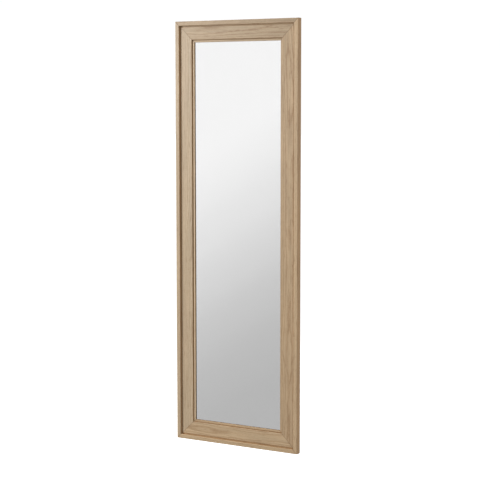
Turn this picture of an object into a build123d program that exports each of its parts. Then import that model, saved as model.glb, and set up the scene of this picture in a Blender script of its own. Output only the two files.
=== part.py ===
from build123d import *

import os
from math import sqrt

# Full-length wall mirror: a mitred, built-up oak frame (outer moulding, wide frieze and sight bead)
# round a 3 mm silvered glass, with a hardboard back, steel corner plates and two D-ring hangers.
# Millimetres. +Z is up and the mirror faces -Y. The origin is below the middle of the mirror: z = 0 is
# the lower edge of the frame, and y = 0 is halfway between the lip and the wall.

# ---------------------------------------------------------------- overall size of the frame
frame_width = 600.0
frame_height = 1800.0

# Widths of the three mouldings across the front, from the outer edge inwards.
lip_width = 19.0
frieze_width = 60.0
bead_width = 10.0

# Steps seen from the front, measured back from the front of the lip.
frieze_recess = 8.5
bead_recess = 13.5
groove_width = 4.0
groove_depth = 3.0

# A quirk is the narrow channel that parts the bead from the frieze.
quirk_width = 1.2
quirk_depth = 2.5

# Layers behind the bead, from front to back. They set how deep the frame is.
bead_thickness = 2.6
tape_thickness = 0.4
glass_thickness = 3.0
silver_thickness = 0.1
board_thickness = 3.0
board_inset = 5.9
frame_depth = (
    bead_recess + bead_thickness + tape_thickness + glass_thickness
    + silver_thickness + board_thickness + board_inset
)

# Rounded arrises of the mouldings.
lip_round = 2.5
frieze_round = 2.8
bead_round = 1.4
back_round = 3.0

# A tongue joins the frieze to the outer moulding. The bead's leg stands beside the glass, and its
# foot fills a rebate behind the frieze.
frieze_tongue = 6.0
frieze_tongue_thickness = 6.0
bead_leg = 3.0
bead_foot = 6.0
bead_foot_thickness = 2.5

# Glass and board.
glass_gap = 2.0
block_length = 60.0
side_block_height = 350.0
tape_width = 3.0
tape_setback = 1.5
tape_end_gap = 0.5
board_lap = 17.0
board_gap = 1.0
board_screw_margin = 5.0
board_screw_corner = 125.0
board_screw_pitch = 210.0

# Corner joints: biscuit in the frieze, V-nail in the outer moulding, steel plate on the back.
biscuit_length = 56.0
biscuit_width = 23.0
biscuit_thickness = 4.0
biscuit_gap = 0.5
nail_leg = 6.0
nail_thickness = 0.5
nail_height = 10.0
nail_setback = 5.5
plate_leg = 80.0
plate_width = 16.0
plate_thickness = 2.0
plate_corner_round = 3.0
plate_hole_spots = (34.0, 66.0)

# Screws: shank radius, head radius and length.
board_screw = (1.5, 2.9, 12.0)
plate_screw = (1.75, 3.4, 14.0)
hanger_screw = (2.0, 3.8, 16.0)
hanger_head_height = 2.2
screw_gap = 0.05
screw_tip = 2.5

# D-ring hangers on the stiles.
hanger_drop = 300.0
strap_width = 14.0
strap_thickness = 1.2
strap_length = 52.0
strap_end_round = 5.0
strap_hole_spots = (28.0, 43.0)
wire_diameter = 3.0
pin_gap = 0.08
ring_gap = 0.3
ring_side_gap = 0.5
ring_bend = 2.2
ring_leg = 7.8

# Wall bumpers.
bumper_radius = 6.0
bumper_round = 1.0
bumper_spot = 145.0
wall_clearance = 0.22

# ---------------------------------------------------------------- values worked out from the sizes
# Distances u run inwards from the outer edge, and heights w run forwards from the frame's back.
frieze_end = lip_width + frieze_width
sight_edge = frieze_end + bead_width
leg_edge = frieze_end + bead_leg
glass_edge = leg_edge + glass_gap
board_rebate = frieze_end - board_lap
board_edge = board_rebate + board_gap
board_screw_line = board_edge + board_screw_margin
back_line = (lip_width + board_rebate) / 2

w_frieze = frame_depth - frieze_recess
w_groove = w_frieze - groove_depth
w_bead = frame_depth - bead_recess
w_tape = w_bead - bead_thickness
w_glass = w_tape - tape_thickness
w_silver = w_glass - glass_thickness
w_board = w_silver - silver_thickness
w_frieze_tongue = (w_groove - frieze_tongue_thickness) / 2
w_foot = w_board + bead_foot_thickness
w_biscuit = (w_board + w_frieze - biscuit_thickness) / 2

wire_radius = wire_diameter / 2
pin_radius = wire_radius + pin_gap
knuckle_radius = pin_radius + strap_thickness
ring_axis = strap_thickness + ring_gap + wire_radius
bumper_height = ring_axis + knuckle_radius + wall_clearance
total_depth = frame_depth + bumper_height
y_back = frame_depth - total_depth / 2

# Each side starts at a corner and runs to the next one, so a side's name also names its first corner.
LEFT, RIGHT = -frame_width / 2, frame_width / 2
SIDES = {
    "bottom": dict(start=(LEFT, y_back, 0), inward=(0, 0, 1), length=frame_width),
    "right": dict(start=(RIGHT, y_back, 0), inward=(-1, 0, 0), length=frame_height),
    "top": dict(start=(RIGHT, y_back, frame_height), inward=(0, 0, -1), length=frame_width),
    "left": dict(start=(LEFT, y_back, frame_height), inward=(1, 0, 0), length=frame_height),
}
CORNERS = {"bottom": "bottom_left", "right": "bottom_right", "top": "top_right", "left": "top_left"}
NEXT_SIDE = {"bottom": "right", "right": "top", "top": "left", "left": "bottom"}
HANGERS = {"left": LEFT + back_line, "right": RIGHT - back_line}


# ---------------------------------------------------------------- planes
def back_plane(side):
    """The frame's back: x runs inwards from the outer edge, y along the side, z at the wall."""
    return Plane(SIDES[side]["start"], x_dir=SIDES[side]["inward"], z_dir=(0, 1, 0))


def section_plane(side):
    """Square across the side at its first corner: x runs inwards, y forwards, z along the side."""
    along = back_plane(side).y_dir
    return Plane(SIDES[side]["start"], x_dir=SIDES[side]["inward"], z_dir=along)


def opening_plane(w):
    """Parallel to the glass, w in front of the frame's back, centred on it, with z at the wall."""
    return Plane((0, y_back - w, frame_height / 2), x_dir=(1, 0, 0), z_dir=(0, 1, 0))


def hanger_plane(name):
    """On the back at a hanger's pin: x to the right, y down, z at the wall."""
    return Plane((HANGERS[name], y_back, frame_height - hanger_drop), x_dir=(1, 0, 0), z_dir=(0, 1, 0))


# ---------------------------------------------------------------- shared features
def finish(piece, name):
    """Labels a finished piece and writes it."""
    piece.part.label = name
    export_step(piece.part, f"parts/{name}.step")


def mitre_ends(side):
    """Keeps the part of a side that lies between its two 45 degree mitres."""
    length = SIDES[side]["length"]
    reach = sight_edge + lip_width
    with BuildSketch(back_plane(side)) as between_mitres:
        with BuildLine():
            Polyline((0, 0), (reach, reach), (reach, length - reach), (0, length), close=True)
        make_face()
    extrude(between_mitres.sketch, amount=-frame_depth, mode=Mode.INTERSECT)


def biscuit(corner, gap, mode):
    """A pointed oval along the mitre, in the middle of the frieze's width and thickness."""
    middle = (lip_width + frieze_end) / 2
    reach = (biscuit_length / 2 + gap) / sqrt(2)
    bulge = (biscuit_width / 2 + gap) / sqrt(2)
    near, far = (middle - reach, middle - reach), (middle + reach, middle + reach)
    with BuildSketch(back_plane(corner).offset(-w_biscuit)) as oval:
        with BuildLine():
            ThreePointArc(near, (middle + bulge, middle - bulge), far)
            ThreePointArc(far, (middle - bulge, middle + bulge), near)
        make_face()
    extrude(oval.sketch, amount=-biscuit_thickness, mode=mode)


def v_nail(corner, mode):
    """A folded steel wedge, one leg in each moulding, driven in from the back across the mitre."""
    with BuildSketch(back_plane(corner)) as folded:
        with Locations((nail_setback, nail_setback)):
            Rectangle(nail_leg, nail_thickness, align=(Align.MIN, Align.MIN))
            Rectangle(nail_thickness, nail_leg, align=(Align.MIN, Align.MIN))
    extrude(folded.sketch, amount=-nail_height, mode=mode)


def countersunk_screw(size, gap=0.0, mode=Mode.ADD):
    """A wood screw with its flat head level with the plane, and its point into the wood."""
    shank_radius, head_radius, length = size
    head_height = head_radius - shank_radius
    head_align = (Align.CENTER, Align.CENTER, Align.MAX)
    Cone(shank_radius + gap, head_radius + gap, head_height, align=head_align, mode=mode)
    with Locations((0, 0, -head_height)):
        Cylinder(shank_radius + gap, length - head_height - screw_tip, align=head_align, mode=mode)
    with Locations((0, 0, screw_tip - length)):
        Cone(gap + 0.3, shank_radius + gap, screw_tip, align=head_align, mode=mode)


def pan_screw(gap=0.0, mode=Mode.ADD):
    """A round-headed screw, its head resting on the plane, and its point into the wood."""
    shank_radius, head_radius, length = hanger_screw
    low = (Align.CENTER, Align.CENTER, Align.MIN)
    high = (Align.CENTER, Align.CENTER, Align.MAX)
    Cone(head_radius + gap, head_radius * 0.7 + gap, hanger_head_height, align=low, mode=mode)
    Cylinder(shank_radius + gap, length - screw_tip, align=high, mode=mode)
    with Locations((0, 0, screw_tip - length)):
        Cone(gap + 0.3, shank_radius + gap, screw_tip, align=high, mode=mode)


def plate_screw_spots(corner):
    """Where a corner plate's screws stand, on the back, in that corner's own plane."""
    spots = [(back_line, back_line - plate_width / 2 + spot) for spot in plate_hole_spots]
    return spots + [(along, inward) for inward, along in spots]


def board_screw_spots(side):
    """Where the backing board's screws stand along one side, in that side's own plane."""
    span = SIDES[side]["length"] - 2 * board_screw_corner
    steps = max(1, round(span / board_screw_pitch))
    return [(board_screw_line, board_screw_corner + span * step / steps) for step in range(steps + 1)]


def plate_screws(corner, gap=0.0, mode=Mode.ADD):
    """The four screws of one corner plate."""
    with Locations(back_plane(corner).offset(plate_thickness)):
        with Locations(*plate_screw_spots(corner)):
            countersunk_screw(plate_screw, gap, mode)


def board_screws(side, gap=0.0, mode=Mode.ADD):
    """The backing board's screws along one side."""
    with Locations(back_plane(side).offset(-board_inset)):
        with Locations(*board_screw_spots(side)):
            countersunk_screw(board_screw, gap, mode)


def hanger_screws(name, gap=0.0, mode=Mode.ADD):
    """The screws of one hanger."""
    with Locations(hanger_plane(name).offset(strap_thickness)):
        with Locations(*[(0, spot) for spot in strap_hole_spots]):
            pan_screw(gap, mode)


os.makedirs("parts", exist_ok=True)

# ---------------------------------------------------------------- outer edge moulding, four lengths
for side in SIDES:
    with BuildPart() as outer_moulding:
        with BuildSketch(section_plane(side)):
            Rectangle(lip_width, frame_depth, align=(Align.MIN, Align.MIN))
            fillet(vertices().group_by(Axis.Y)[-1], lip_round)
            fillet(vertices().group_by(Axis.Y)[0].sort_by(Axis.X)[0], back_round)
            with Locations((lip_width, w_frieze_tongue)):
                Rectangle(
                    frieze_tongue,
                    frieze_tongue_thickness,
                    align=(Align.MAX, Align.MIN),
                    mode=Mode.SUBTRACT,
                )
        extrude(amount=SIDES[side]["length"])
        mitre_ends(side)
        for corner in (side, NEXT_SIDE[side]):
            v_nail(corner, Mode.SUBTRACT)
    finish(outer_moulding, f"outer_moulding_{side}")

# ---------------------------------------------------------------- wide frieze, four boards
for side in SIDES:
    with BuildPart() as frieze:
        with BuildSketch(section_plane(side)):
            with Locations((lip_width, 0)):
                Rectangle(frieze_width, w_frieze, align=(Align.MIN, Align.MIN))
            with Locations((lip_width, w_frieze)):
                Rectangle(groove_width, groove_depth, align=(Align.MIN, Align.MAX), mode=Mode.SUBTRACT)
            fillet(vertices().group_by(Axis.Y)[-1], frieze_round)
            with Locations((lip_width, w_frieze_tongue)):
                Rectangle(frieze_tongue, frieze_tongue_thickness, align=(Align.MAX, Align.MIN))
            with Locations((frieze_end, 0)):
                Rectangle(board_lap, w_board, align=(Align.MAX, Align.MIN), mode=Mode.SUBTRACT)
            with Locations((frieze_end, 0)):
                Rectangle(bead_foot, w_foot, align=(Align.MAX, Align.MIN), mode=Mode.SUBTRACT)
        extrude(amount=SIDES[side]["length"])
        mitre_ends(side)
        board_screws(side, screw_gap, Mode.SUBTRACT)
        for corner in (side, NEXT_SIDE[side]):
            biscuit(corner, biscuit_gap, Mode.SUBTRACT)
            plate_screws(corner, screw_gap, Mode.SUBTRACT)
        if side in HANGERS:
            hanger_screws(side, screw_gap, Mode.SUBTRACT)
    finish(frieze, f"frieze_{side}")

# ---------------------------------------------------------------- sight bead, four lengths
for side in SIDES:
    with BuildPart() as sight_bead:
        with BuildSketch(section_plane(side)):
            with Locations((frieze_end, w_tape)):
                Rectangle(bead_width, bead_thickness, align=(Align.MIN, Align.MIN))
            with Locations((frieze_end, w_board)):
                Rectangle(bead_leg, w_bead - w_board, align=(Align.MIN, Align.MIN))
            with Locations((frieze_end, w_bead)):
                Rectangle(quirk_width, quirk_depth, align=(Align.MIN, Align.MAX), mode=Mode.SUBTRACT)
            fillet(vertices().group_by(Axis.Y)[-1], bead_round)
            with Locations((frieze_end, w_board)):
                Rectangle(bead_foot, bead_foot_thickness, align=(Align.MAX, Align.MIN))
        extrude(amount=SIDES[side]["length"])
        mitre_ends(side)
    finish(sight_bead, f"sight_bead_{side}")

# ---------------------------------------------------------------- joints inside the corners
with BuildPart() as mitre_biscuits:
    for corner in CORNERS:
        biscuit(corner, 0.0, Mode.ADD)
finish(mitre_biscuits, "mitre_biscuits")

with BuildPart() as mitre_v_nails:
    for corner in CORNERS:
        v_nail(corner, Mode.ADD)
finish(mitre_v_nails, "mitre_v_nails")

# ---------------------------------------------------------------- glass, its coat, tape and blocks
glass_width = frame_width - 2 * glass_edge
glass_height = frame_height - 2 * glass_edge

with BuildPart() as mirror_glass:
    with BuildSketch(opening_plane(w_silver)):
        Rectangle(glass_width, glass_height)
    extrude(amount=-glass_thickness)
finish(mirror_glass, "mirror_glass")

with BuildPart() as silver_coat:
    with BuildSketch(opening_plane(w_board)):
        Rectangle(glass_width, glass_height)
    extrude(amount=-silver_thickness)
finish(silver_coat, "silver_coat")

# Four strips on the front of the glass, kept back from the sight edge so that they stay out of view.
tape_outer = sight_edge - tape_setback - tape_width
with BuildPart() as glazing_tape:
    with BuildSketch(opening_plane(w_glass)):
        strip_x = frame_width / 2 - tape_outer - tape_width / 2
        strip_z = frame_height / 2 - tape_outer - tape_width / 2
        with Locations((-strip_x, 0), (strip_x, 0)):
            Rectangle(tape_width, frame_height - 2 * tape_outer)
        with Locations((0, -strip_z), (0, strip_z)):
            Rectangle(frame_width - 2 * (tape_outer + tape_width + tape_end_gap), tape_width)
    extrude(amount=-tape_thickness)
finish(glazing_tape, "glazing_tape")

# Two blocks carry the glass at a quarter of its width from each end, and two on each side centre it.
with BuildPart() as glass_blocks:
    with BuildSketch(opening_plane(w_silver)):
        low = frame_height / 2 - leg_edge - glass_gap / 2
        side_x = frame_width / 2 - leg_edge - glass_gap / 2
        side_z = frame_height / 2 - side_block_height
        with Locations((-glass_width / 4, low), (glass_width / 4, low)):
            Rectangle(block_length, glass_gap)
        with Locations(*[(x, z) for x in (-side_x, side_x) for z in (-side_z, side_z)]):
            Rectangle(glass_gap, block_length)
    extrude(amount=-glass_thickness)
finish(glass_blocks, "glass_blocks")

# ---------------------------------------------------------------- backing board and its screws
with BuildPart() as backing_board:
    with BuildSketch(opening_plane(board_inset)):
        Rectangle(frame_width - 2 * board_edge, frame_height - 2 * board_edge)
    extrude(amount=-board_thickness)
    for side in SIDES:
        board_screws(side, screw_gap, Mode.SUBTRACT)
finish(backing_board, "backing_board")

with BuildPart() as backing_board_screws:
    for side in SIDES:
        board_screws(side)
finish(backing_board_screws, "backing_board_screws")

# ---------------------------------------------------------------- steel corner plates and their screws
plate_start = back_line - plate_width / 2
for corner, corner_name in CORNERS.items():
    with BuildPart() as corner_plate:
        with BuildSketch(back_plane(corner)):
            with Locations((plate_start, plate_start)):
                Rectangle(plate_leg, plate_width, align=(Align.MIN, Align.MIN))
                Rectangle(plate_width, plate_leg, align=(Align.MIN, Align.MIN))
            fillet(vertices().group_by(Axis.X)[-1], plate_corner_round)
            fillet(vertices().group_by(Axis.Y)[-1], plate_corner_round)
            fillet(vertices().group_by(Axis.X)[0].sort_by(Axis.Y)[0], plate_corner_round)
        extrude(amount=plate_thickness)
        plate_screws(corner, screw_gap, Mode.SUBTRACT)
    finish(corner_plate, f"corner_plate_{corner_name}")

with BuildPart() as corner_plate_screws:
    for corner in CORNERS:
        plate_screws(corner)
finish(corner_plate_screws, "corner_plate_screws")

# ---------------------------------------------------------------- D-ring hangers
leg_x = strap_width / 2 + ring_side_gap + ring_bend
for name in HANGERS:
    # A steel strip, rolled at its upper end into a knuckle round the ring's straight bar.
    side_view = Plane(
        hanger_plane(name).from_local_coords((-strap_width / 2, 0, 0)),
        x_dir=(0, 1, 0),
        z_dir=(1, 0, 0),
    )
    with BuildPart() as hanger_strap:
        with BuildSketch(side_view):
            Rectangle(strap_thickness, strap_length, align=(Align.MIN, Align.MAX))
            with Locations((ring_axis, 0)):
                Circle(knuckle_radius)
                Circle(pin_radius, mode=Mode.SUBTRACT)
        extrude(amount=strap_width)
        fillet(edges().filter_by(Axis.Y).group_by(Axis.Z)[0], strap_end_round)
        hanger_screws(name, screw_gap, Mode.SUBTRACT)
    finish(hanger_strap, f"hanger_strap_{name}")

    # A closed D of round wire that hangs down from the knuckle and swings up and away from the back.
    with BuildPart() as hanger_ring:
        with BuildLine(hanger_plane(name).offset(ring_axis)):
            bar_x = leg_x - ring_bend
            Line((-bar_x, 0), (bar_x, 0))
            CenterArc((bar_x, ring_bend), ring_bend, -90, 90)
            Line((leg_x, ring_bend), (leg_x, ring_bend + ring_leg))
            CenterArc((0, ring_bend + ring_leg), leg_x, 0, 180)
            Line((-leg_x, ring_bend + ring_leg), (-leg_x, ring_bend))
            CenterArc((-bar_x, ring_bend), ring_bend, 180, 90)
        with BuildSketch(Plane(hanger_plane(name).offset(ring_axis).origin, z_dir=(1, 0, 0))):
            Circle(wire_radius)
        sweep()
    finish(hanger_ring, f"hanger_ring_{name}")

with BuildPart() as hanger_screw_group:
    for name in HANGERS:
        hanger_screws(name)
finish(hanger_screw_group, "hanger_screws")

# ---------------------------------------------------------------- wall bumpers
with BuildPart() as wall_bumpers:
    for side in ("bottom", "top"):
        with BuildSketch(back_plane(side)):
            with Locations((back_line, bumper_spot), (back_line, frame_width - bumper_spot)):
                Circle(bumper_radius)
        extrude(amount=bumper_height)
    fillet(faces().group_by(Axis.Y)[-1].edges(), bumper_round)
finish(wall_bumpers, "wall_bumpers")

print("frame", frame_width, "x", frame_height, "x", round(frame_depth, 2), "mm deep")
print("with the bumpers", round(total_depth, 2), "mm deep, back plane at y =", round(y_back, 3))
print("glass", glass_width, "x", glass_height, "mm, sight size", frame_width - 2 * sight_edge)
print("ring pin", round(ring_axis, 2), "mm behind the back, at x =", [round(x, 2) for x in HANGERS.values()])
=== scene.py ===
# %% [markdown]
# # A full-length wall mirror in oak
# The mirror is a tall rectangle of silvered glass in a built-up oak frame. Three mouldings make each side:
# a raised outer moulding, a wide flat frieze set back behind it, and a narrow sight bead that laps over the
# glass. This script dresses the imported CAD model: it rebuilds the mouldings and the screws with Geometry
# Nodes, keeps the other CAD pieces, and gives every piece a material made from nodes.

# %% Load the frame
import math

import bmesh
import bpy
from mathutils import Matrix, Vector


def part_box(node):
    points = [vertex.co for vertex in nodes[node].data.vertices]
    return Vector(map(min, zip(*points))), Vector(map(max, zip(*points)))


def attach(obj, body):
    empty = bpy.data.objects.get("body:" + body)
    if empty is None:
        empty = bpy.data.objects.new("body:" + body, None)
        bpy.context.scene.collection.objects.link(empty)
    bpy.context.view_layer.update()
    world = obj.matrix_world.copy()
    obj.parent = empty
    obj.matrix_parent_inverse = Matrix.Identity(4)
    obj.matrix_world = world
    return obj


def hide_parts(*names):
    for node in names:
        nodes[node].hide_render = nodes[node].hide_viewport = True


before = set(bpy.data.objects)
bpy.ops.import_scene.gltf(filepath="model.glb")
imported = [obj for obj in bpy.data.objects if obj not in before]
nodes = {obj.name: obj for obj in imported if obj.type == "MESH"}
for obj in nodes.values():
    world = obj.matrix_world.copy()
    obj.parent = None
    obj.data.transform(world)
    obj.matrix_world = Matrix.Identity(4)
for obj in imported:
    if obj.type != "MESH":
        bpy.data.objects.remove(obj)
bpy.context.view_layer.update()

scene = bpy.context.scene
MM = 0.001

# %% [markdown]
# ## The camera
# It stands at eye height to the right of the glass and looks slightly down, through a long lens that keeps
# the tall frame from bending. Its place is in metres, in the model's own frame.

# %% Camera
camera_place = (3.2277, -5.2231, 1.4643)
camera_azimuth = math.radians(31.22)
camera_tilt = math.radians(5.816)

camera_data = bpy.data.cameras.new("camera")
camera_data.lens = 105.28
camera_data.sensor_width = 36.0
camera = bpy.data.objects.new("camera", camera_data)
camera.location = camera_place
camera.rotation_euler = (math.pi / 2 - camera_tilt, 0, camera_azimuth)
scene.collection.objects.link(camera)
scene.camera = camera

# %% [markdown]
# ## Small helpers
# Colours are written as the hex values that a paint card would give, and one function turns them into the
# linear values that the renderer works in. One other function adds any node, sets it and links it.

# %% Short names for the kinds of node used most
MATH, VECTOR, REMAP = "ShaderNodeMath", "ShaderNodeVectorMath", "ShaderNodeMapRange"
MIX, NOISE, RAMP = "ShaderNodeMix", "ShaderNodeTexNoise", "ShaderNodeValToRGB"
SPLIT, COMBINE, COORDINATES = "ShaderNodeSeparateXYZ", "ShaderNodeCombineXYZ", "ShaderNodeTexCoord"


# %% Helpers
def linear(colour):
    """An sRGB hex colour as linear red, green, blue and alpha."""
    parts = [int(colour[at:at + 2], 16) / 255 for at in (1, 3, 5)]
    return [part / 12.92 if part <= 0.04045 else ((part + 0.055) / 1.055) ** 2.4 for part in parts] + [1.0]


def add(tree, kind, inputs=None, out=0, stops=(), **settings):
    """Adds a node and returns one of its outputs.

    An input takes a value, a hex colour or a socket. Stops are a colour ramp's (place, hex colour or grey),
    the lowest first, then the highest, then those between.
    """
    node = tree.nodes.new(kind)
    for name, value in settings.items():
        setattr(node, name, value)
    for name, value in (inputs or {}).items():
        if isinstance(value, bpy.types.NodeSocket):
            tree.links.new(value, node.inputs[name])
        elif isinstance(value, str) and value.startswith("#"):
            node.inputs[name].default_value = linear(value)
        else:
            node.inputs[name].default_value = value
    for at, (place, colour) in enumerate(stops):
        element = node.color_ramp.elements[at] if at < 2 else node.color_ramp.elements.new(place)
        element.position = place
        element.color = linear(colour) if isinstance(colour, str) else (colour, colour, colour, 1.0)
    return node.outputs[out] if node.outputs else node


def new_material(name):
    """A material with a plain shader: returns it, its tree and the shader's node."""
    material = bpy.data.materials.new(name)
    material.use_nodes = True
    tree = material.node_tree
    tree.nodes.clear()
    shader = add(tree, "ShaderNodeBsdfPrincipled").node
    add(tree, "ShaderNodeOutputMaterial", {"Surface": shader.outputs[0]})
    return material, tree, shader


# %% [markdown]
# ## Oak, solid, pale matt lacquer
# Oak is ring-porous: each year starts with a band of open pores and ends in dense, smooth wood. A board sawn
# flat from the log cuts the rings at a shallow angle, which gives long ovals, and beside them straight lines.
# The pattern here is cut the same way. Every board carries its own place in the log as an attribute, so the
# rings are cylinders round the log's middle, bent a little by noise, and the board's faces slice them. The
# pores are short dark dashes along the grain. The oak's own colour is pale. Faces that turn away from the
# front are painted a deeper brown, which is painted shade, so the front faces stand paler, as a painted
# sheen.
# Every point carries how far it lies down in a groove as an attribute, and a painted shade of brown follows
# that.

# %% Oak: where the board lay in the log, and noise stretched along its grain
RING_WIDTH = 2.9 * MM
RING_WAVER = 13.0 * MM
RING_WOBBLE = 2.2 * MM
OAK_LIGHT, OAK_MIDDLE, OAK_DARK, OAK_PORE, OAK_JOINT = "#c0a887", "#b99f7e", "#aa8d6b", "#8a6a4a", "#6a4a30"
# The first colour is painted shade on faces that turn away from the front, the second painted shade deep in
# the grooves.
OAK_SIDE_SHADE, OAK_GROOVE_SHADE = (0.97, 0.84, 0.70, 1.0), (0.80, 0.68, 0.52, 1.0)
GLUE_SHOWS = 0.5
PORE_DEPTH = 0.12 * MM

oak, tree, shader = new_material("oak, solid, pale matt lacquer")
place = add(tree, "ShaderNodeAttribute", out="Vector", attribute_name="grain")
tint = add(tree, "ShaderNodeAttribute", out="Color", attribute_name="tint")
joint = add(tree, "ShaderNodeAttribute", out="Fac", attribute_name="joint")
# The painted shade of the grooves, stored on each point by the moulding tree.
groove_shade = add(tree, "ShaderNodeAttribute", out="Fac", attribute_name="groove_shade")

# Waves to the metre along the grain and across it, then detail and roughness.
OAK_NOISES = {
    "bend": (2.6, 14.0, 2.5, 0.45),
    "wobble": (25.0, 160.0, 2.0, 0.5),
    "streaks": (5.0, 250.0, 4.0, 0.62),
    "clouds": (4.0, 26.0, 1.0, 0.5),
    "flecks": (22.0, 240.0, 1.5, 0.5),
    "pores": (110.0, 3000.0, 1.0, 0.5),
}
grain = {}
for name, (along, across, detail, roughness) in OAK_NOISES.items():
    stretched = add(tree, VECTOR, {0: place, 1: (along, across, across)}, operation="MULTIPLY")
    settings = {"Vector": stretched, "Scale": 1.0, "Detail": detail, "Roughness": roughness}
    grain[name] = add(tree, NOISE, settings)

# %% Oak: the growth rings
# Distance from the middle of the log, in ring widths, bent slowly along the board.
squashed = add(tree, VECTOR, {0: place, 1: (0.004, 1.0, 1.0)}, operation="MULTIPLY")
radius = add(tree, VECTOR, {0: squashed}, out="Value", operation="LENGTH")
bent = add(tree, MATH, {0: grain["bend"], 1: RING_WAVER, 2: radius}, operation="MULTIPLY_ADD")
wobbled = add(tree, MATH, {0: grain["wobble"], 1: RING_WOBBLE, 2: bent}, operation="MULTIPLY_ADD")
rings = add(tree, MATH, {0: wobbled, 1: RING_WIDTH}, operation="DIVIDE")
season = add(tree, MATH, {0: rings}, operation="FRACT")
ring_stops = [(0.0, OAK_DARK), (1.0, OAK_DARK), (0.2, OAK_MIDDLE), (0.6, OAK_LIGHT), (0.92, OAK_MIDDLE)]
wood = add(tree, RAMP, {"Fac": season}, stops=ring_stops)

# %% Oak: streaks, clouds, flecks and pores
# Streaks are bands a few millimetres wide, and clouds are slow changes down the board. Flecks are brown
# patches 20 to 40 mm long. Pores are dashes about 9 mm long and 0.3 mm wide, thickest where a ring starts.
streaks = add(tree, REMAP, {"Value": grain["streaks"], 1: 0.3, 2: 0.7, 3: 0.84, 4: 1.13})
clouds = add(tree, REMAP, {"Value": grain["clouds"], 1: 0.3, 2: 0.7, 3: 0.95, 4: 1.05})
shade = add(tree, MATH, {0: streaks, 1: clouds}, operation="MULTIPLY")
wood = add(tree, MIX, {0: 1.0, 6: wood, 7: shade}, out=2, data_type="RGBA", blend_type="MULTIPLY")
fleck = add(tree, REMAP, {"Value": grain["flecks"], 1: 0.60, 2: 0.72, 3: 0.0, 4: 0.5})
wood = add(tree, MIX, {0: fleck, 6: wood, 7: OAK_PORE}, out=2, data_type="RGBA")
early = add(tree, REMAP, {"Value": season, 1: 0.0, 2: 0.5, 3: 0.52, 4: 0.62})
over = add(tree, MATH, {0: grain["pores"], 1: early}, operation="SUBTRACT")
pore = add(tree, REMAP, {"Value": over, 1: 0.0, 2: 0.1, 3: 0.0, 4: 0.75})
wood = add(tree, MIX, {0: pore, 6: wood, 7: OAK_PORE}, out=2, data_type="RGBA")

# %% Oak: the board's tone, painted shade on its edges and in its grooves, the mitre's dark line, and the surface
wood = add(tree, MIX, {0: 1.0, 6: wood, 7: tint}, out=2, data_type="RGBA", blend_type="MULTIPLY")
# Painted shade: faces that turn away from the front are multiplied darker and browner, which leaves the
# fronts paler as a painted sheen.
facing = add(tree, "ShaderNodeNewGeometry", out="True Normal")
forward = add(tree, MATH, {0: add(tree, SPLIT, {0: facing}, out="Y"), 1: -1.0}, operation="MULTIPLY")
edge = add(tree, REMAP, {"Value": forward, 1: 0.3, 2: 0.85, 3: 1.0, 4: 0.0})
shaded_sides = add(tree, MIX, {0: 1.0, 6: wood, 7: OAK_SIDE_SHADE}, out=2, data_type="RGBA", blend_type="MULTIPLY")
wood = add(tree, MIX, {0: edge, 6: wood, 7: shaded_sides}, out=2, data_type="RGBA")
# Painted shade in the grooves: points lying deep below the front are multiplied darker and browner.
shaded_grooves = add(tree, MIX, {0: 1.0, 6: wood, 7: OAK_GROOVE_SHADE}, out=2, data_type="RGBA", blend_type="MULTIPLY")
wood = add(tree, MIX, {0: groove_shade, 6: wood, 7: shaded_grooves}, out=2, data_type="RGBA")
glue_line = add(tree, MATH, {0: joint, 1: GLUE_SHOWS}, operation="MULTIPLY")
wood = add(tree, MIX, {0: glue_line, 6: wood, 7: OAK_JOINT}, out=2, data_type="RGBA")
height = add(tree, MATH, {0: season, 1: 0.2}, operation="MULTIPLY")
height = add(tree, MATH, {0: height, 1: pore}, operation="SUBTRACT")
tree.links.new(wood, shader.inputs["Base Color"])
tree.links.new(add(tree, REMAP, {"Value": pore, 3: 0.46, 4: 0.7}), shader.inputs["Roughness"])
tree.links.new(
    add(tree, "ShaderNodeBump", {"Strength": 0.5, "Distance": PORE_DEPTH, "Height": height}),
    shader.inputs["Normal"],
)
shader.inputs["IOR"].default_value = 1.48
print("oak rings every", RING_WIDTH / MM, "mm")

# %% [markdown]
# ## The mouldings, by rule
# A joiner planes each moulding to one outline along its whole length and then cuts both ends at 45 degrees.
# The node tree below does the same. It takes the outline as a flat face, pulls it out in five steps, and
# then moves every point along the side by its own distance from the outer edge, which is what a mitre is.
# The first and last rings are drawn in by a fraction of a millimetre, so each mitre shows as a fine shadow
# line, as two real boards do. The outlines use the sizes of the CAD boxes, so they fit the CAD exactly.

# %% Sizes of the frame, read from the CAD boxes
SIDES = ("bottom", "right", "top", "left")
low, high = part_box("outer_moulding_left")
half_width, frame_height = -low.x, high.z - low.z
back_y = high.y
frame_depth = high.y - low.y
lip = high.x - low.x
frieze_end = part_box("frieze_left")[1].x + half_width
frieze_front = back_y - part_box("frieze_left")[0].y
bead_low, bead_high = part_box("sight_bead_left")
sight_edge, bead_foot = bead_high.x + half_width, bead_low.x + half_width
GLASS_GAP, BOARD_GAP = 2.0 * MM, 1.0 * MM
bead_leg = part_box("mirror_glass")[0].x + half_width - GLASS_GAP
bead_front, bead_back = back_y - bead_low.y, back_y - bead_high.y
board_front = back_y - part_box("backing_board")[0].y
board_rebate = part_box("backing_board")[0].x + half_width - BOARD_GAP
print("lip", lip / MM, "frieze to", frieze_end / MM, "bead to", sight_edge / MM, "mm from the edge")


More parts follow.
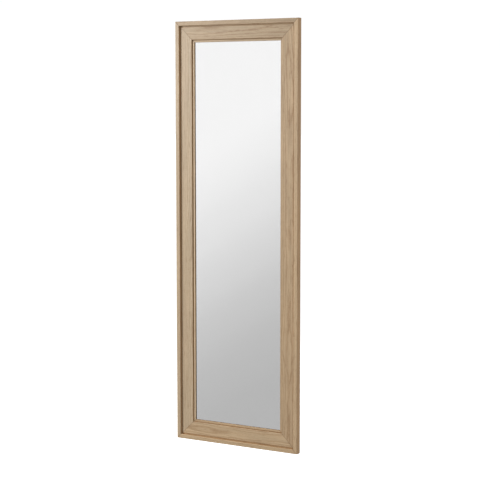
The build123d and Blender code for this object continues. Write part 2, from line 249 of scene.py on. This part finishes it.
# %% Outlines with rounded corners
def outline(corners, steps=7, hold=0.15 * MM):
    """The points of a closed outline. A corner is (u, w) or (u, w, radius), and a radius makes an arc."""
    points = []
    for at, corner in enumerate(corners):
        here = Vector(corner[:2])
        if len(corner) == 2:
            points.append(here)
            continue
        before = (Vector(corners[at - 1][:2]) - here).normalized()
        after = (Vector(corners[(at + 1) % len(corners)][:2]) - here).normalized()
        reach = corner[2]
        centre = here + (before + after) * reach
        points.append(here + before * (reach + hold))
        for step in range(steps + 1):
            turn = math.pi / 2 * step / steps
            points.append(centre - after * reach * math.cos(turn) - before * reach * math.sin(turn))
        points.append(here + after * (reach + hold))
    return points


LIP_ROUND, FRIEZE_ROUND, BEAD_ROUND, BACK_ROUND = 2.5 * MM, 2.8 * MM, 1.4 * MM, 3.0 * MM
TONGUE, TONGUE_THICK = 6.0 * MM, 6.0 * MM
GROOVE_WIDTH, GROOVE_DEPTH = 4.0 * MM, 3.0 * MM
BEAD_LAP = 2.6 * MM
BEAD_FOOT_THICK = 2.5 * MM
QUIRK_WIDTH, QUIRK_DEPTH = 1.2 * MM, 2.5 * MM
groove_floor = frieze_front - GROOVE_DEPTH
tongue_low = (groove_floor - TONGUE_THICK) / 2
tongue_high = tongue_low + TONGUE_THICK
foot_top = bead_back + BEAD_FOOT_THICK

OUTLINES = {
    "outer_moulding": outline([
        (0, 0, BACK_ROUND),
        (lip, 0),
        (lip, tongue_low),
        (lip - TONGUE, tongue_low),
        (lip - TONGUE, tongue_high),
        (lip, tongue_high),
        (lip, frame_depth, LIP_ROUND),
        (0, frame_depth, LIP_ROUND),
    ]),
    "frieze": outline([
        (lip, 0),
        (board_rebate, 0),
        (board_rebate, board_front),
        (bead_foot, board_front),
        (bead_foot, foot_top),
        (frieze_end, foot_top),
        (frieze_end, frieze_front, FRIEZE_ROUND),
        (lip + GROOVE_WIDTH, frieze_front, FRIEZE_ROUND),
        (lip + GROOVE_WIDTH, groove_floor),
        (lip, groove_floor),
        (lip, tongue_high),
        (lip - TONGUE, tongue_high),
        (lip - TONGUE, tongue_low),
        (lip, tongue_low),
    ]),
    "sight_bead": outline([
        (bead_foot, bead_back),
        (bead_leg, bead_back),
        (bead_leg, bead_front - BEAD_LAP),
        (sight_edge, bead_front - BEAD_LAP),
        (sight_edge, bead_front, BEAD_ROUND),
        (frieze_end + QUIRK_WIDTH, bead_front, BEAD_ROUND),
        (frieze_end + QUIRK_WIDTH, bead_front - QUIRK_DEPTH),
        (frieze_end, bead_front - QUIRK_DEPTH),
        (frieze_end, foot_top),
        (bead_foot, foot_top),
    ]),
}
print({name: len(points) for name, points in OUTLINES.items()}, "points in each outline")


# %% A node tree with named inputs, and its result as a plain mesh
def geometry_tree(name, sockets):
    """An empty geometry tree with a Geometry input, these named inputs, and one Geometry output."""
    tree = bpy.data.node_groups.new(name, "GeometryNodeTree")
    tree.interface.new_socket("Geometry", in_out="OUTPUT", socket_type="NodeSocketGeometry")
    tree.interface.new_socket("Geometry", in_out="INPUT", socket_type="NodeSocketGeometry")
    for socket, kind in sockets.items():
        tree.interface.new_socket(socket, in_out="INPUT", socket_type="NodeSocket" + kind)
    return tree, add(tree, "NodeGroupInput").node.outputs


def adopt(piece, replaced, body="mirror"):
    """Puts a finished piece in the scene in place of a CAD node, on its body and with its finish."""
    scene.collection.objects.link(piece)
    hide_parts(replaced)
    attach(piece, body)
    return piece


SHARP_FROM = math.radians(32)


def bake(name, mesh, tree, values, replaced):
    """Runs a tree on a mesh and keeps the result as one plain mesh that replaces a CAD node."""
    source = bpy.data.objects.new(name + "_source", mesh)
    scene.collection.objects.link(source)
    modifier = source.modifiers.new("rule", "NODES")
    modifier.node_group = tree
    for item in tree.interface.items_tree:
        if item.in_out == "INPUT" and item.name in values:
            modifier[item.identifier] = values[item.name]
    graph = bpy.context.evaluated_depsgraph_get()
    made = bpy.data.meshes.new_from_object(source.evaluated_get(graph))
    bpy.data.objects.remove(source)
    made.name = name
    made.set_sharp_from_angle(angle=SHARP_FROM)
    return adopt(bpy.data.objects.new(name, made), replaced)


# %% The moulding tree: the outline pulled out in five steps
# The Recess input sets how strong the painted groove shade is.
moulding_tree, given = geometry_tree(
    "mitred moulding",
    {"Length": "Float", "Joint": "Float", "Fade": "Float", "Centre": "Vector", "Size": "Vector",
     "Front": "Float", "Recess": "Float", "Start": "Vector", "Turn": "Rotation", "Board": "Vector",
     "Tint": "Color", "Material": "Material"},
)
tree = moulding_tree
pulled, top = given["Geometry"], True
for _ in range(5):
    step = {"Mesh": pulled, "Selection": top, "Offset": (0, 0, 1), "Individual": False}
    pulled = add(tree, "GeometryNodeExtrudeMesh", step)
    top = pulled.node.outputs["Top"]
first_cap = add(tree, "GeometryNodeFlipFaces", {"Mesh": given["Geometry"]})
joined = add(tree, "GeometryNodeJoinGeometry", {0: pulled})
tree.links.new(first_cap, joined.node.inputs[0])
closed = add(tree, "GeometryNodeMergeByDistance", {"Geometry": joined, "Distance": 0.001 * MM})

# %% The moulding tree: stations 0 to 5 along the side, the end rings drawn in by the joint line
here = add(tree, "GeometryNodeInputPosition")
station = add(tree, SPLIT, {0: here}, out="Z")
far = add(tree, MATH, {0: station, 1: 2.5}, operation="SUBTRACT")
far = add(tree, MATH, {0: far}, operation="ABSOLUTE")
is_end = add(tree, MATH, {0: far, 1: 2.0}, operation="GREATER_THAN")
is_inner = add(tree, MATH, {0: far, 1: 1.0}, operation="LESS_THAN")
near_end = add(tree, MATH, {0: 1.0, 1: is_inner}, operation="SUBTRACT")
end_joint = add(tree, MATH, {0: is_end, 1: given["Joint"]}, operation="MULTIPLY")
both_sides = add(tree, MATH, {0: end_joint, 1: -2.0}, operation="MULTIPLY")
shares = add(tree, VECTOR, {0: (1, 1, 1), 1: given["Size"]}, operation="DIVIDE")
shrink = add(tree, VECTOR, {0: shares, "Scale": both_sides}, operation="SCALE")
centred = add(tree, VECTOR, {0: here, 1: given["Centre"]}, operation="SUBTRACT")
drawn_in = add(tree, VECTOR, {0: centred, 1: shrink, 2: here}, operation="MULTIPLY_ADD")
flat_x, flat_y = (add(tree, SPLIT, {0: drawn_in}, out=axis) for axis in "XY")

# %% The moulding tree: each point sits as far from the corner as it is from the outer edge
not_end = add(tree, MATH, {0: given["Joint"], 1: end_joint}, operation="SUBTRACT")
setback = add(tree, MATH, {0: is_inner, 1: given["Fade"], 2: not_end}, operation="MULTIPLY_ADD")
from_corner = add(tree, MATH, {0: flat_x, 1: setback}, operation="ADD")
from_far_corner = add(tree, MATH, {0: given["Length"], 1: from_corner}, operation="SUBTRACT")
second_half = add(tree, MATH, {0: station, 1: 2.5}, operation="GREATER_THAN")
along = add(tree, MIX, {0: second_half, 2: from_corner, 3: from_far_corner})
target = add(tree, COMBINE, {0: flat_x, 1: flat_y, 2: along})
STORE = "GeometryNodeStoreNamedAttribute"
marked = add(tree, STORE, {"Geometry": closed, "Name": "joint", "Value": near_end}, data_type="FLOAT")
mitred = add(tree, "GeometryNodeSetPosition", {"Geometry": marked, "Position": target})

# %% The moulding tree: the board's place in the log, how deep a point lies, then the place in the frame
# The oak reads the log as along the grain, across it, and through the thickness. It is painted a darker
# brown, as painted shade, from the first depth below the moulding's front to the second.
SHADE_FROM, SHADE_BY = 0.6 * MM, 2.6 * MM
spot = add(tree, "GeometryNodeInputPosition")
spot_x, spot_y, spot_z = (add(tree, SPLIT, {0: spot}, out=axis) for axis in "XYZ")
in_log = add(tree, COMBINE, {0: spot_z, 1: spot_x, 2: spot_y})
in_log = add(tree, VECTOR, {0: in_log, 1: given["Board"]}, operation="ADD")
grained = add(tree, STORE, {"Geometry": mitred, "Name": "grain", "Value": in_log}, data_type="FLOAT_VECTOR")
# How far a point lies below the moulding's front sets its painted groove shade.
below = add(tree, MATH, {0: given["Front"], 1: spot_y}, operation="SUBTRACT")
painted_groove_shade = add(tree, REMAP, {"Value": below, 1: SHADE_FROM, 2: SHADE_BY, 3: 0.0, 4: given["Recess"]})
grained = add(tree, STORE, {"Geometry": grained, "Name": "groove_shade", "Value": painted_groove_shade}, data_type="FLOAT")
# The tint is the length's tone, with its painted light.
tone = {"Geometry": grained, "Name": "tint", "Value": given["Tint"]}
toned = add(tree, STORE, tone, data_type="FLOAT_COLOR")
move = {"Geometry": toned, "Translation": given["Start"], "Rotation": given["Turn"]}
placed = add(tree, "GeometryNodeTransform", move)
real = add(tree, "GeometryNodeRealizeInstances", {"Geometry": placed})
smooth = add(tree, "GeometryNodeSetShadeSmooth", {"Geometry": real})
finished = add(tree, "GeometryNodeSetMaterial", {"Geometry": smooth, "Material": given["Material"]})
add(tree, "NodeGroupOutput", {"Geometry": finished})

# %% [markdown]
# ## Twelve lengths of moulding
# Each side starts at a corner and runs to the next one, anticlockwise as the viewer sees it. Every length has
# its own place in the log, so no two boards share their figure, and its own tone, which also holds painted
# light.

# %% Where the sides start, where each board was sawn, and its tone with painted light
# The groove shade strength is how strongly the painted shade in the grooves shows on each moulding.
JOINT_LINE = {"outer_moulding": 0.5 * MM, "frieze": 0.4 * MM, "sight_bead": 0.3 * MM}
JOINT_FADE = 1.8 * MM
GROOVE_SHADE_STRENGTH = {"outer_moulding": 0.0, "frieze": 0.6, "sight_bead": 1.0}
FORWARD = Vector((0, -1, 0))
STARTS = {
    "bottom": ((-half_width, back_y, 0), (0, 0, 1)),
    "right": ((half_width, back_y, 0), (-1, 0, 0)),
    "top": ((half_width, back_y, frame_height), (0, 0, -1)),
    "left": ((-half_width, back_y, frame_height), (1, 0, 0)),
}

# Metres along the log, then millimetres from the log's middle, across and behind the face.
BOARDS = {
    "outer_moulding": {
        "bottom": (3.1, -40, 30),
        "right": (7.7, -55, 25),
        "top": (1.2, 50, 40),
        "left": (9.4, 45, 30),
    },
    "frieze": {
        "bottom": (4.0, -52, 52),
        "right": (0.6, -46, 60),
        "top": (6.3, -38, 48),
        "left": (2.5, -88, 55),
    },
    "sight_bead": {
        "bottom": (5.2, -30, 60),
        "right": (8.8, -20, 70),
        "top": (2.2, -35, 65),
        "left": (0.3, -25, 60),
    },
}
# Each length's tone, multiplied into its oak. Beside the boards' own tones these hold painted light: the left
# lengths are whiter, a painted sheen, and the left sight bead is painted far lighter, as painted light.
BOARD_TONES_AND_PAINTED_LIGHT = {
    "outer_moulding": {
        "bottom": (1.12, 1.10, 1.06),
        "right": (1.18, 1.17, 1.15),
        "top": (0.90, 0.90, 0.91),
        "left": (1.04, 1.08, 1.14),
    },
    "frieze": {
        "bottom": (1.07, 1.05, 1.02),
        "right": (1.00, 0.97, 0.94),
        "top": (0.91, 0.91, 0.91),
        "left": (1.04, 1.09, 1.16),
    },
    "sight_bead": {
        "bottom": (1.14, 1.11, 1.07),
        "right": (1.02, 1.00, 0.97),
        "top": (0.96, 0.96, 0.96),
        "left": (1.36, 1.40, 1.44),
    },
}


# %% Build the twelve lengths
def outline_face(name, points):
    """One flat face with this outline, in the plane that the moulding tree starts from."""
    mesh = bpy.data.meshes.new(name)
    mesh.from_pydata([(*point, 0.0) for point in points], [], [range(len(points))])
    return mesh


for moulding, points in OUTLINES.items():
    lowest = Vector((min(point.x for point in points), min(point.y for point in points), 0))
    highest = Vector((max(point.x for point in points), max(point.y for point in points), 0))
    for side in SIDES:
        start, inward = STARTS[side]
        run = Vector(inward).cross(FORWARD)
        along_log, across_log, behind = BOARDS[moulding][side]
        name = f"{moulding}_{side}"
        values = {
            "Length": frame_height if side in ("left", "right") else 2 * half_width,
            "Joint": JOINT_LINE[moulding],
            "Fade": JOINT_FADE,
            "Centre": (lowest + highest) / 2,
            "Size": highest - lowest + Vector((0, 0, 1)),
            "Front": highest.y,
            "Recess": GROOVE_SHADE_STRENGTH[moulding],
            "Start": start,
            "Turn": Matrix((inward, FORWARD, run)).transposed().to_euler(),
            "Board": (along_log, across_log * MM, behind * MM),
            "Tint": (*BOARD_TONES_AND_PAINTED_LIGHT[moulding][side], 1.0),
            "Material": oak,
        }
        piece = bake(name + "_oak", outline_face(name, points), moulding_tree, values, name)
        print(piece.name, len(piece.data.polygons), "faces")

# %% [markdown]
# ## Screws
# Twenty-two countersunk screws hold the board, sixteen hold the corner plates, and four round-headed ones the
# hangers. All are bodies of revolution with a cross recess, so one tree makes them: four cones end to end and
# a lid, merged into one closed shape, with two bars cut out of the head. It is copied to every point of a
# small mesh, and each copy gets its own turn, because nobody lines up the slots of hidden screws.

# %% The screw tree: a closed body of revolution, head upwards, with its seat at height 0
screw_tree, given = geometry_tree(
    "wood screw",
    {"Shank Radius": "Float", "Head Radius": "Float", "Crown Radius": "Float", "Sink": "Float",
     "Crown": "Float", "Length": "Float", "Point": "Float", "Recess": "Float", "Seed": "Int",
     "Material": "Material"},
)
tree = screw_tree
ROUND = 24
bottom = add(tree, MATH, {0: given["Length"], 1: -1.0}, operation="MULTIPLY")
shank_start = add(tree, MATH, {0: bottom, 1: given["Point"]}, operation="ADD")
neck_start = add(tree, MATH, {0: given["Sink"], 1: -1.0}, operation="MULTIPLY")
shank_length = add(tree, MATH, {0: neck_start, 1: shank_start}, operation="SUBTRACT")
STACK = [
    (bottom, 0.0, given["Shank Radius"], given["Point"]),
    (shank_start, given["Shank Radius"], given["Shank Radius"], shank_length),
    (neck_start, given["Shank Radius"], given["Head Radius"], given["Sink"]),
    (0.0, given["Head Radius"], given["Crown Radius"], given["Crown"]),
]
disc = {"Vertices": ROUND, "Radius": given["Crown Radius"]}
lid = add(tree, "GeometryNodeMeshCircle", disc, fill_type="NGON")
at_crown = add(tree, COMBINE, {2: given["Crown"]})
lid = add(tree, "GeometryNodeTransform", {"Geometry": lid, "Translation": at_crown})
body = add(tree, "GeometryNodeJoinGeometry", {0: lid})
for base, radius_low, radius_high, depth in STACK:
    sizes = {"Vertices": ROUND, "Radius Bottom": radius_low, "Radius Top": radius_high, "Depth": depth}
    cone = add(tree, "GeometryNodeMeshCone", sizes, fill_type="NONE")
    lift = add(tree, COMBINE, {2: base})
    raised = add(tree, "GeometryNodeTransform", {"Geometry": cone, "Translation": lift})
    tree.links.new(raised, body.node.inputs[0])
screw = add(tree, "GeometryNodeMergeByDistance", {"Geometry": body, "Distance": 0.01 * MM})

# %% The screw tree: the cross recess, the copies and their turns
# Each bar of the cross is given in head radii, its length and its width.
BAR_LENGTH, BAR_WIDTH = 1.15, 0.24
arm = add(tree, MATH, {0: given["Head Radius"], 1: BAR_LENGTH}, operation="MULTIPLY")
thick = add(tree, MATH, {0: given["Head Radius"], 1: BAR_WIDTH}, operation="MULTIPLY")
deep = add(tree, MATH, {0: given["Recess"], 1: 2.0}, operation="MULTIPLY")
for size in ((arm, thick, deep), (thick, arm, deep)):
    bar = add(tree, "GeometryNodeMeshCube", {"Size": add(tree, COMBINE, dict(enumerate(size)))})
    bar = add(tree, "GeometryNodeTransform", {"Geometry": bar, "Translation": at_crown})
    screw = add(tree, "GeometryNodeMeshBoolean", {"Mesh 1": screw, "Mesh 2": bar}, solver="EXACT")
HEAD_BACKWARDS = (-math.pi / 2, 0, 0)
copy = {"Points": given["Geometry"], "Instance": screw, "Rotation": HEAD_BACKWARDS}
copies = add(tree, "GeometryNodeInstanceOnPoints", copy)
turn = add(tree, "FunctionNodeRandomValue", {2: 0.0, 3: math.tau, "Seed": given["Seed"]}, out=1)
spin = {"Instances": copies, "Rotation": add(tree, COMBINE, {2: turn}), "Local Space": True}
turned = add(tree, "GeometryNodeRotateInstances", spin)
real = add(tree, "GeometryNodeRealizeInstances", {"Geometry": turned})
finished = add(tree, "GeometryNodeSetMaterial", {"Geometry": real, "Material": given["Material"]})
add(tree, "NodeGroupOutput", {"Geometry": finished})


# %% [markdown]
# ## Plain finishes
# The fittings and the hidden pieces are metal, rubber, foam and board. Each finish starts from one noise, at
# the size of its own grain in millimetres, that moves both its colour and its gloss.


# %% A finish that wanders with one noise
def mottled(name, light, dark, roughness, patch, metallic=0.0, stretch=(1, 1, 1), bump=0.0):
    """Colour and gloss follow one noise whose patches are this many metres wide. Bump is in metres."""
    material, tree, shader = new_material(name)
    scaled = add(tree, VECTOR, {0: add(tree, COORDINATES, out="Object"), 1: stretch}, operation="MULTIPLY")
    noise = add(tree, NOISE, {"Vector": scaled, "Scale": 1.0 / patch, "Detail": 4.0, "Roughness": 0.6})
    colour = add(tree, RAMP, {"Fac": noise}, stops=[(0.32, dark), (0.68, light)])
    gloss = add(tree, REMAP, {"Value": noise, 1: 0.3, 2: 0.7, 3: roughness[1], 4: roughness[0]})
    tree.links.new(colour, shader.inputs["Base Color"])
    tree.links.new(gloss, shader.inputs["Roughness"])
    if bump:
        relief = add(tree, "ShaderNodeBump", {"Strength": 0.6, "Distance": bump, "Height": noise})
        tree.links.new(relief, shader.inputs["Normal"])
    shader.inputs["Metallic"].default_value = metallic
    return material


# %% The fittings' finishes
# Yellow zinc: screws plated and passivated, so the gold drifts towards a dull rose from screw to screw.
yellow_zinc = mottled("steel, yellow zinc plated", "#d9bd72", "#b18f68", (0.26, 0.42), 9 * MM, 1.0)
# Zinc: stamped plates from a dull plating bath, blue-grey and cloudy.
zinc = mottled("steel, zinc plated, dull", "#bcc0c4", "#92979c", (0.32, 0.52), 6 * MM, 1.0, bump=0.02 * MM)
# Nickel: barrel-plated wire and strip, warm and satin, rubbed brighter in places.
nickel = mottled("steel, nickel plated, satin", "#cfc9bd", "#aea89d", (0.2, 0.36), 3 * MM, 1.0)
# Spring steel: bright strip, rolled lengthwise, which leaves fine lines.
spring_steel = mottled("spring steel, bright", "#b4b4b2", "#8d8d8c", (0.25, 0.45), 2 * MM, 1.0, (1, 0.2, 1))
# Beech: compressed biscuits, with short brown flecks where the rays are cut.
beech = mottled("beech, pressed, bare", "#d0a47b", "#b0835c", (0.6, 0.8), 1.2 * MM, stretch=(1, 1, 0.3))
# Foam: glazing tape in tan, with a fine closed-cell face.
foam = mottled("foam, closed cell, tan", "#b58d5e", "#977147", (0.8, 0.95), 0.4 * MM, bump=0.05 * MM)
# Black rubber: cut setting blocks, with a dusty matt face.
black_rubber = mottled("rubber, black, cut", "#2a2a2a", "#151515", (0.7, 0.9), 0.6 * MM, bump=0.04 * MM)
# Grey rubber: soft moulded bumpers, slightly glossy and cloudy.
grey_rubber = mottled("rubber, grey, moulded", "#a2a2a0", "#868684", (0.35, 0.55), 3 * MM, bump=0.02 * MM)

# %% [markdown]
# ## Hardboard, bare
# The back is 3 mm hardboard: wood fibre pressed hot into a sheet. The outer face is smooth and brown with
# darker fibres a few millimetres long lying every way, and wide blotches where the mat was denser.

# %% Hardboard
BOARD_LIGHT, BOARD_DARK, BOARD_FIBRE = "#8a6444", "#6b4a30", "#4f3522"
hardboard, tree, shader = new_material("hardboard, smooth face, bare")
place = add(tree, COORDINATES, out="Object")
blotches = add(tree, NOISE, {"Vector": place, "Scale": 1 / (90 * MM), "Detail": 5.0, "Roughness": 0.6})
sheet = add(tree, RAMP, {"Fac": blotches}, stops=[(0.3, BOARD_DARK), (0.7, BOARD_LIGHT)])
bend = add(tree, NOISE, {"Vector": place, "Scale": 1 / (6 * MM)}, out="Color")
bent = add(tree, VECTOR, {0: bend, 1: (4 * MM, 4 * MM, 4 * MM), 2: place}, operation="MULTIPLY_ADD")
fibres = add(tree, NOISE, {"Vector": bent, "Scale": 1 / (1.2 * MM), "Detail": 2.0})
fibre = add(tree, REMAP, {"Value": fibres, 1: 0.55, 2: 0.7, 3: 0.0, 4: 0.7})
sheet = add(tree, MIX, {0: fibre, 6: sheet, 7: BOARD_FIBRE}, out=2, data_type="RGBA")
relief = add(tree, "ShaderNodeBump", {"Strength": 0.5, "Distance": 0.05 * MM, "Height": fibres})
tree.links.new(sheet, shader.inputs["Base Color"])
tree.links.new(add(tree, REMAP, {"Value": fibre, 3: 0.48, 4: 0.75}), shader.inputs["Roughness"])
tree.links.new(relief, shader.inputs["Normal"])

# %% Give the kept CAD pieces their finishes
FINISHES = {
    "mitre_biscuits": beech, "mitre_v_nails": spring_steel,
    "glazing_tape": foam, "glass_blocks": black_rubber,
    "backing_board": hardboard, "wall_bumpers": grey_rubber,
    "hanger_strap_left": nickel, "hanger_strap_right": nickel,
    "hanger_ring_left": nickel, "hanger_ring_right": nickel,
    "corner_plate_bottom_left": zinc, "corner_plate_bottom_right": zinc,
    "corner_plate_top_left": zinc, "corner_plate_top_right": zinc,
}
for name, material in FINISHES.items():
    for slot in nodes[name].material_slots:
        slot.material = material
print(len(FINISHES), "CAD pieces kept")


# %% Where the CAD screws stand
HEADS_APART = 9 * MM


def screw_spots(node, crown):
    """The middle of each screw's seat, found from the flat tops of the CAD heads."""
    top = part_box(node)[1].y
    heads = []
    for vertex in nodes[node].data.vertices:
        if vertex.co.y < top - 0.01 * MM:
            continue
        for head in heads:
            if (head[0] - vertex.co).length < HEADS_APART:
                head.append(vertex.co.copy())
                break
        else:
            heads.append([vertex.co.copy()])
    spots = []
    for head in heads:
        across, upright = ([point[axis] for point in head] for axis in (0, 2))
        middle_x, middle_z = ((min(span) + max(span)) / 2 for span in (across, upright))
        spots.append((middle_x, top - crown, middle_z))
    return spots


# %% Make the three kinds of screw
# Shank radius, head radius, crown radius, sink, crown, length, point and recess, in millimetres.
SCREWS = {
    "backing_board_screws": (1.5, 2.9, 2.9, 1.4, 0.0, 12.0, 2.5, 1.1, yellow_zinc),
    "corner_plate_screws": (1.75, 3.4, 3.4, 1.65, 0.0, 14.0, 2.5, 1.3, zinc),
    "hanger_screws": (2.0, 3.8, 2.66, 0.0, 2.2, 16.0, 2.5, 1.5, nickel),
}
SCREW_INPUTS = ("Shank Radius", "Head Radius", "Crown Radius", "Sink", "Crown", "Length", "Point", "Recess")
for seed, (node, (*sizes, material)) in enumerate(SCREWS.items()):
    values = {name: size * MM for name, size in zip(SCREW_INPUTS, sizes)}
    points = bpy.data.meshes.new(node)
    spots = screw_spots(node, values["Crown"])
    points.from_pydata(spots, [], [])
    piece = bake(node + "_turned", points, screw_tree, {**values, "Seed": seed, "Material": material}, node)
    print(piece.name, len(spots), "screws,", len(piece.data.polygons), "faces")

# %% [markdown]
# ## The glass and its silver
# A mirror is clear float glass with a film of silver on its back, sealed by paint. The glass is kept as a
# clear slab with dull ground edges, and the silver as a thin plate just behind it, so that a look at the
# bead's edge shows the gap of the glass's thickness between the wood and its reflection.

# %% Glass: clear faces, and edges ground dull and a little green
glass, tree, shader = new_material("float glass, clear, ground edges")
facing = add(tree, SPLIT, {0: add(tree, "ShaderNodeNewGeometry", out="True Normal")}, out="Y")
frontness = add(tree, MATH, {0: facing}, operation="ABSOLUTE")
ground = add(tree, MATH, {0: frontness, 1: 0.5}, operation="LESS_THAN")
grit = add(tree, NOISE, {"Vector": add(tree, COORDINATES, out="Object"), "Scale": 1 / (0.5 * MM)})
grit = add(tree, REMAP, {"Value": grit, 1: 0.3, 2: 0.7, 3: 0.3, 4: 0.55})
frosted = add(tree, MATH, {0: grit, 1: ground}, operation="MULTIPLY")
body = add(tree, MIX, {0: ground, 6: "#ffffff", 7: "#b9d3c6"}, out=2, data_type="RGBA")
tree.links.new(frosted, shader.inputs["Roughness"])
tree.links.new(body, shader.inputs["Base Color"])
shader.inputs["Transmission Weight"].default_value = 1.0
shader.inputs["IOR"].default_value = 1.52

# %% Silver: bright towards the glass, and sealed with grey paint behind and round its edges
SILVER, PAINT_LIGHT, PAINT_DARK = "#f5f5f5", "#7c8083", "#666a6e"
silver, tree, shader = new_material("silver film, grey sealing paint behind")
facing = add(tree, SPLIT, {0: add(tree, "ShaderNodeNewGeometry", out="True Normal")}, out="Y")
painted = add(tree, MATH, {0: facing, 1: -0.5}, operation="GREATER_THAN")
place = add(tree, COORDINATES, out="Object")
peel = add(tree, NOISE, {"Vector": place, "Scale": 1 / (4 * MM), "Detail": 3.0})
paint = add(tree, RAMP, {"Fac": peel}, stops=[(0.3, PAINT_DARK), (0.7, PAINT_LIGHT)])
colour = add(tree, MIX, {0: painted, 6: SILVER, 7: paint}, out=2, data_type="RGBA")
tree.links.new(colour, shader.inputs["Base Color"])
tree.links.new(add(tree, MATH, {0: 1.0, 1: painted}, operation="SUBTRACT"), shader.inputs["Metallic"])
tree.links.new(add(tree, MATH, {0: painted, 1: 0.55}, operation="MULTIPLY"), shader.inputs["Roughness"])


# %% Two plates with eased edges
def slab(name, low, high, material, replaced):
    """A closed rectangular plate with lightly eased edges, in place of a CAD node."""
    mesh = bpy.data.meshes.new(name)
    form = bmesh.new()
    bmesh.ops.create_cube(form, size=1.0)
    size, middle = high - low, (high + low) / 2
    stretch = Matrix.Translation(middle) @ Matrix.Diagonal((*size, 1))
    bmesh.ops.transform(form, matrix=stretch, verts=form.verts)
    bmesh.ops.bevel(form, geom=form.edges, offset=min(size) * 0.2, segments=2, affect="EDGES", profile=0.7)
    form.to_mesh(mesh)
    form.free()
    mesh.materials.append(material)
    return adopt(bpy.data.objects.new(name, mesh), replaced)


AIR = 0.02 * MM
low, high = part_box("mirror_glass")
slab("mirror_glass_plate", low, high - Vector((0, AIR, 0)), glass, "mirror_glass")
low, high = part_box("silver_coat")
slab("silver_film", low, high, silver, "silver_coat")

# %% [markdown]
# ## The studio
# The mirror hangs against a white sweep. A large soft light stands far to the left, so the faces that turn
# right are in half shadow. The glass needs something to mirror, and on a white set that is the grey fall-off
# of the floor in front of it: the sky gives it a smooth ramp from white down to mid grey.

# %% World
SET_WHITE, FILL = (1.02, 1.02, 1.02, 1.0), (0.50, 0.50, 0.50, 1.0)
FALL_OFF = [
    (0.0, 0.507), (0.86, 1.0),
    (0.13, 0.526), (0.28, 0.587), (0.415, 0.68), (0.56, 0.80), (0.7, 0.905),
]
world = bpy.data.worlds.new("studio")
scene.world = world
world.use_nodes = True
tree = world.node_tree
tree.nodes.clear()
look = add(tree, COORDINATES, out="Generated")
look_x, look_z = (add(tree, SPLIT, {0: look}, out=axis) for axis in "XZ")
aside = add(tree, REMAP, {"Value": look_x, 1: -0.63, 2: -0.46, 3: 0.066, 4: -0.066})
level = add(tree, MATH, {0: look_z, 1: aside}, operation="ADD")
reach = add(tree, REMAP, {"Value": level, 1: -0.25, 2: 0.0, 3: 0.0, 4: 1.0})
ramp = add(tree, RAMP, {"Fac": reach}, stops=FALL_OFF)
ramp.node.color_ramp.interpolation = "CARDINAL"
straight = add(tree, "ShaderNodeLightPath", out="Is Camera Ray")
diffuse = add(tree, "ShaderNodeLightPath", out="Is Diffuse Ray")
seen = add(tree, MIX, {0: straight, 6: ramp, 7: SET_WHITE}, out=2, data_type="RGBA")
seen = add(tree, MIX, {0: diffuse, 6: seen, 7: FILL}, out=2, data_type="RGBA")
add(tree, "ShaderNodeOutputWorld", {"Surface": add(tree, "ShaderNodeBackground", {"Color": seen})})

# %% Lights
# The key stands in front on the left. The other lifts the back of the frame, and never reaches the front.
SOFTBOXES = {"key_softbox": ((-3.0, -2.45, 2.0), 1.1, 106), "back_softbox": ((-2.2, 3.0, 2.4), 1.6, 70)}
for name, (stand, size, watts) in SOFTBOXES.items():
    data = bpy.data.lights.new(name, "AREA")
    data.size = size
    data.energy = watts
    lamp = bpy.data.objects.new(name, data)
    lamp.location = stand
    lamp.rotation_euler = (Vector((0, 0, 1.0)) - lamp.location).to_track_quat("-Z", "Y").to_euler()
    scene.collection.objects.link(lamp)

# %% Floor: it lies well below the lower edge, and only the camera sees it
floor_material, tree, shader = new_material("studio floor, matt white paint")
shader.inputs["Base Color"].default_value = linear("#f2f2f2")
shader.inputs["Roughness"].default_value = 0.9
shader.inputs["Emission Color"].default_value = (1, 1, 1, 1)
shader.inputs["Emission Strength"].default_value = 0.62
FLOOR_Z, FLOOR_REACH = -0.3, 60.0
corners = ((-1, -1), (1, -1), (1, 1), (-1, 1))
floor_mesh = bpy.data.meshes.new("floor")
floor_mesh.from_pydata([(x * FLOOR_REACH, y * FLOOR_REACH, FLOOR_Z) for x, y in corners], [], [(0, 1, 2, 3)])
floor_mesh.materials.append(floor_material)
floor = bpy.data.objects.new("floor", floor_mesh)
scene.collection.objects.link(floor)
floor.visible_glossy = False
floor.visible_transmission = False
floor.visible_diffuse = False
scene.view_settings.view_transform = "Standard"
